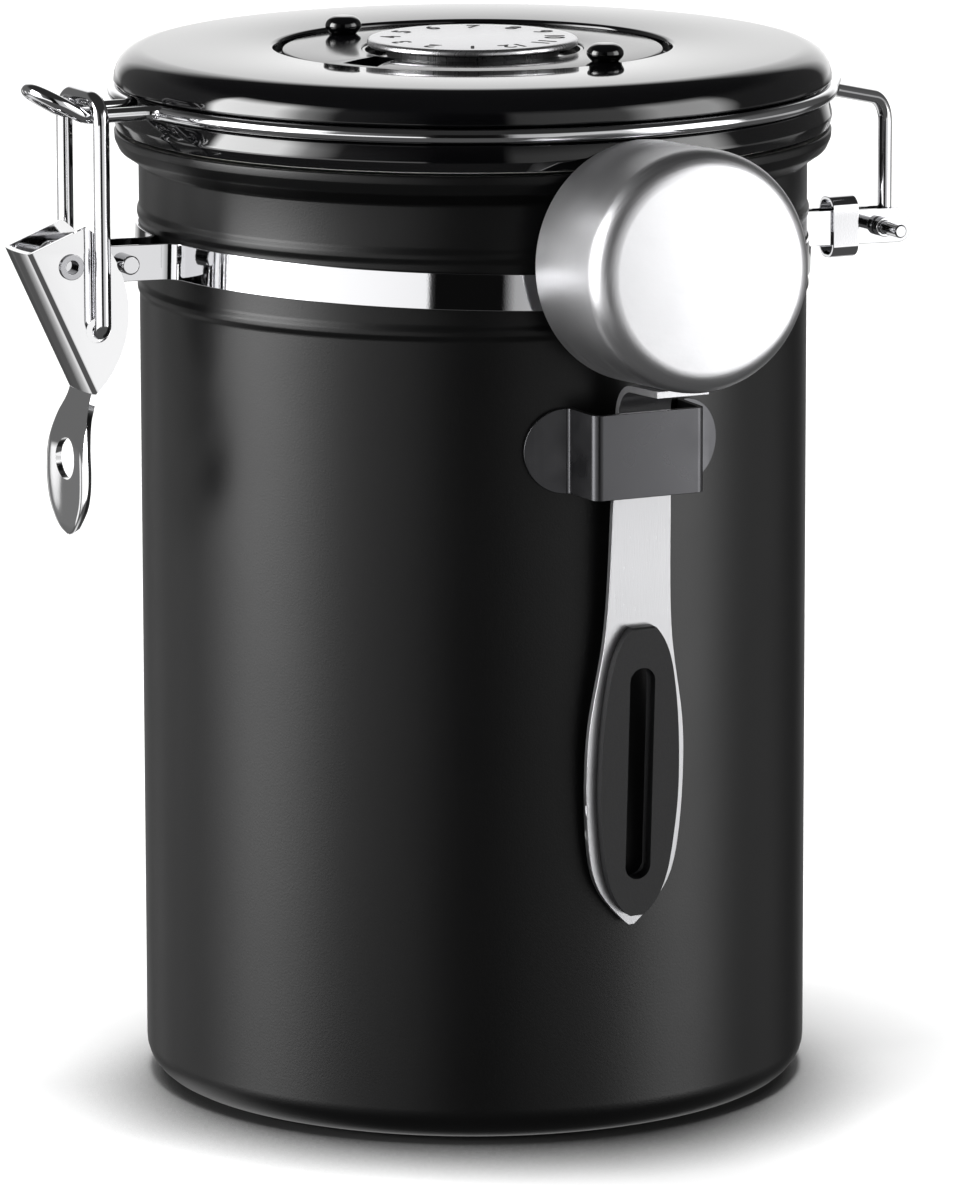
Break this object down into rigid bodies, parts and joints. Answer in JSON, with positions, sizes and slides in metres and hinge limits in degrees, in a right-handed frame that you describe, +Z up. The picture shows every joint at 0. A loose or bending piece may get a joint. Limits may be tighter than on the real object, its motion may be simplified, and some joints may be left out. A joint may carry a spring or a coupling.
{
  "type": "coffee canister",
  "caption": "Round steel storage canister with a clamp-latched lid, a one-way gas valve, a turning date dial and a scoop that hangs in a clip.",
  "frame": {"origin": "middle of the canister's flat base", "axes": "+Z up the canister; the latch is at -X, the hinge at +X and the scoop hangs at -Y"},
  "size_m": [0.1728, 0.1515, 0.1836],
  "materials": {
    "coated_steel": "matte powder coat",
    "band_steel": "polished",
    "clip_coat": "matte powder coat",
    "lid_gloss": "gloss",
    "lid_pan_steel": "satin",
    "silicone": "matte",
    "dial_plate": "satin",
    "brushed_steel": "brushed",
    "valve_plastic": "matte",
    "felt": "matte",
    "wire_chrome": "polished",
    "lever_chrome": "polished",
    "grip_rubber": "matte"
  },
  "bodies": {
    "canister": {"canister_body": "coated_steel", "band_front": "band_steel", "band_rear": "band_steel", "hinge_sleeve": "band_steel", "band_rivet": "band_steel", "lever_eyelet": "band_steel", "scoop_clip": "clip_coat"},
    "lid": {"lid_shell": "lid_gloss", "lid_pan": "lid_pan_steel", "lid_gasket": "silicone", "day_plate": "dial_plate", "dial_stud": "brushed_steel", "valve_housing": "valve_plastic", "valve_filter": "felt", "valve_cap": "valve_plastic", "ring_wire": "wire_chrome", "pin_collars": "wire_chrome"},
    "day_ring": {"day_ring": "lid_gloss", "dial_knobs": "lid_gloss"},
    "month_disc": {"month_disc": "brushed_steel"},
    "valve": {"valve_membrane": "silicone"},
    "lever": {"latch_lever": "lever_chrome"},
    "link": {"latch_link": "wire_chrome"},
    "scoop": {"scoop_cup": "brushed_steel", "scoop_handle": "brushed_steel", "scoop_grip": "grip_rubber"}
  },
  "joints": [
    {"name": "lid_hinge", "type": "hinge", "parent": "canister", "child": "lid", "pos_m": [0.0797, 0, 0.14414], "axis": [0, 1, 0], "range_deg": [0, 190]},
    {"name": "lever_pivot", "type": "hinge", "parent": "canister", "child": "lever", "pos_m": [-0.0784, 0, 0.14842], "axis": [0, 1, 0], "range_deg": [0, 130]},
    {"name": "link_swing", "type": "hinge", "parent": "lid", "child": "link", "pos_m": [-0.07365, 0, 0.1766], "axis": [0, 1, 0], "range_deg": [0, 26]},
    {"name": "day_ring_turn", "type": "hinge", "parent": "lid", "child": "day_ring", "pos_m": [0, 0, 0.18], "axis": [0, 0, 1], "continuous": true},
    {"name": "month_disc_turn", "type": "hinge", "parent": "lid", "child": "month_disc", "pos_m": [0, 0, 0.18], "axis": [0, 0, 1], "continuous": true},
    {"name": "valve_lift", "type": "slide", "parent": "lid", "child": "valve", "axis": [0, 0, 1], "range_m": [0, 0.0005]},
    {"name": "scoop_lift", "type": "slide", "parent": "canister", "child": "scoop", "axis": [0, -0.0225, 0.9997], "range_m": [0, 0.085]}
  ],
  "couplings": [
    {"joint": "link_swing", "follows": "lever_pivot", "ratio": 0.2}
  ]
}
